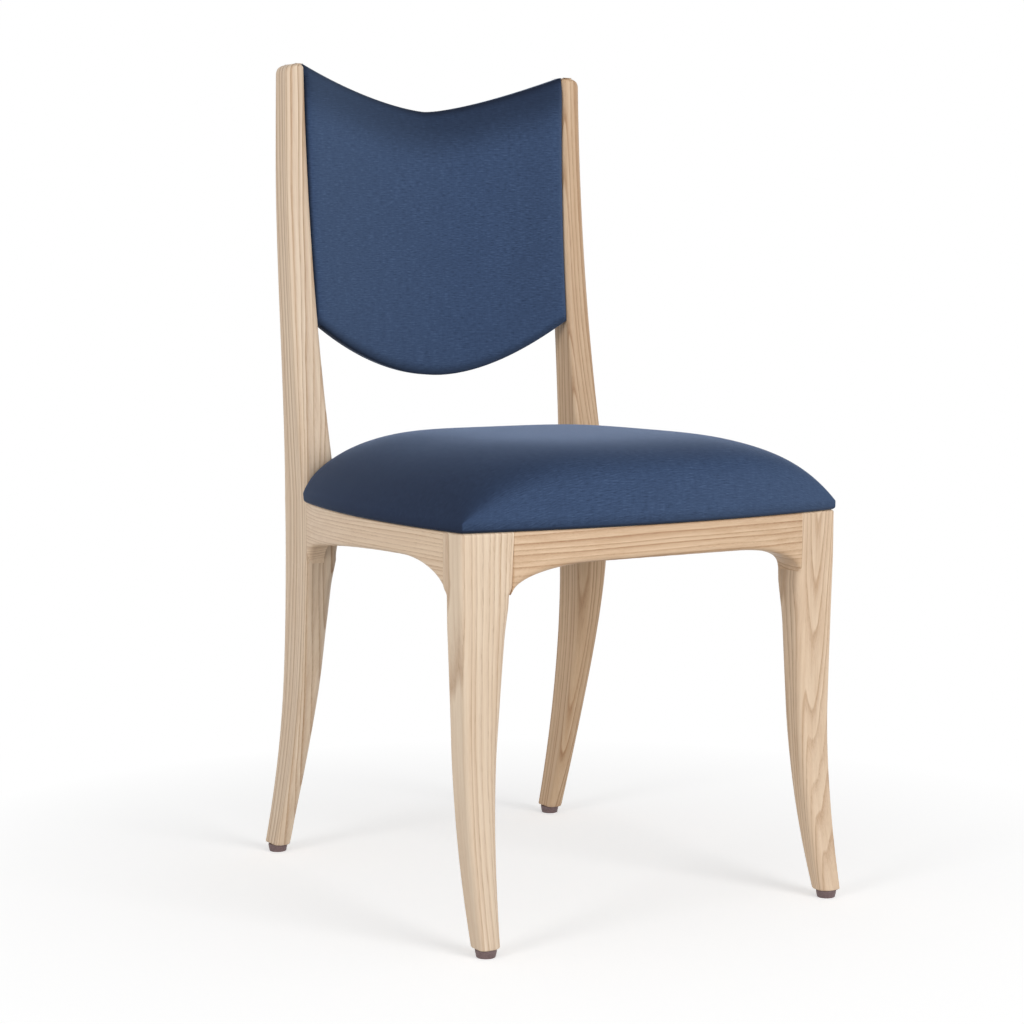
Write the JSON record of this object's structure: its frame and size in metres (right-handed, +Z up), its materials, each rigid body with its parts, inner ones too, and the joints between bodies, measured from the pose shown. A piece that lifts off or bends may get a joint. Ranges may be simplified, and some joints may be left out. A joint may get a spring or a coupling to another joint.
{
  "type": "upholstered klismos side chair",
  "caption": "Dining side chair with sabre legs, bowed arched seat rails, a domed upholstered seat and a dished upholstered back between curved stiles.",
  "frame": {"origin": "on the floor under the middle of the chair's box, where the glides stand", "axes": "+Z up, +X to the right of someone who faces the front of the chair, -Y towards the front"},
  "size_m": [0.492, 0.5386, 0.912],
  "materials": {
    "ash_frame": "pale ash, matt clear lacquer, straight grain along each member",
    "dowel_wood": "plain beech",
    "block_wood": "planed beech",
    "plywood": "birch plywood, unfinished",
    "blue_cloth": "grey blue slubbed cloth with a satin sheen",
    "foam": "cut upholstery foam",
    "dust_cloth": "thin black non-woven cloth",
    "glide_plastic": "warm grey moulded plastic",
    "screw_steel": "zinc plated",
    "nail_steel": "zinc plated"
  },
  "bodies": {
    "root": {"front_leg_right": "ash_frame", "front_leg_left": "ash_frame", "rear_leg_right": "ash_frame", "rear_leg_left": "ash_frame", "side_rail_right": "ash_frame", "side_rail_left": "ash_frame", "front_rail": "ash_frame", "back_rail": "ash_frame", "dowel_front_rail_upper_right": "dowel_wood", "dowel_front_rail_upper_left": "dowel_wood", "dowel_front_rail_lower_right": "dowel_wood", "dowel_front_rail_lower_left": "dowel_wood", "dowel_side_rail_front_upper_right": "dowel_wood", "dowel_side_rail_front_upper_left": "dowel_wood", "dowel_side_rail_front_lower_right": "dowel_wood", "dowel_side_rail_front_lower_left": "dowel_wood", "dowel_side_rail_rear_upper_right": "dowel_wood", "dowel_side_rail_rear_upper_left": "dowel_wood", "dowel_side_rail_rear_lower_right": "dowel_wood", "dowel_side_rail_rear_lower_left": "dowel_wood", "dowel_back_rail_upper_right": "dowel_wood", "dowel_back_rail_upper_left": "dowel_wood", "dowel_back_rail_lower_right": "dowel_wood", "dowel_back_rail_lower_left": "dowel_wood", "back_dowel_upper_right": "dowel_wood", "back_dowel_upper_left": "dowel_wood", "back_dowel_lower_right": "dowel_wood", "back_dowel_lower_left": "dowel_wood", "front_corner_block_right": "block_wood", "front_corner_block_left": "block_wood", "rear_corner_block_right": "block_wood", "rear_corner_block_left": "block_wood", "front_block_rail_screw_right": "screw_steel", "front_block_rail_screw_left": "screw_steel", "front_block_side_screw_right": "screw_steel", "front_block_side_screw_left": "screw_steel", "front_block_seat_screw_right": "screw_steel", "front_block_seat_screw_left": "screw_steel", "rear_block_rail_screw_right": "screw_steel", "rear_block_rail_screw_left": "screw_steel", "rear_block_side_screw_right": "screw_steel", "rear_block_side_screw_left": "screw_steel", "rear_block_seat_screw_right": "screw_steel", "rear_block_seat_screw_left": "screw_steel", "front_glide_nail_right": "nail_steel", "front_glide_nail_left": "nail_steel", "rear_glide_nail_right": "nail_steel", "rear_glide_nail_left": "nail_steel", "front_glide_right": "glide_plastic", "front_glide_left": "glide_plastic", "rear_glide_right": "glide_plastic", "rear_glide_left": "glide_plastic", "seat_cover": "blue_cloth", "seat_foam": "foam", "seat_board": "plywood", "seat_dust_cover": "dust_cloth", "back_front_cover": "blue_cloth", "back_foam": "foam", "back_core": "plywood", "back_rear_panel": "blue_cloth"}
  },
  "joints": []
}
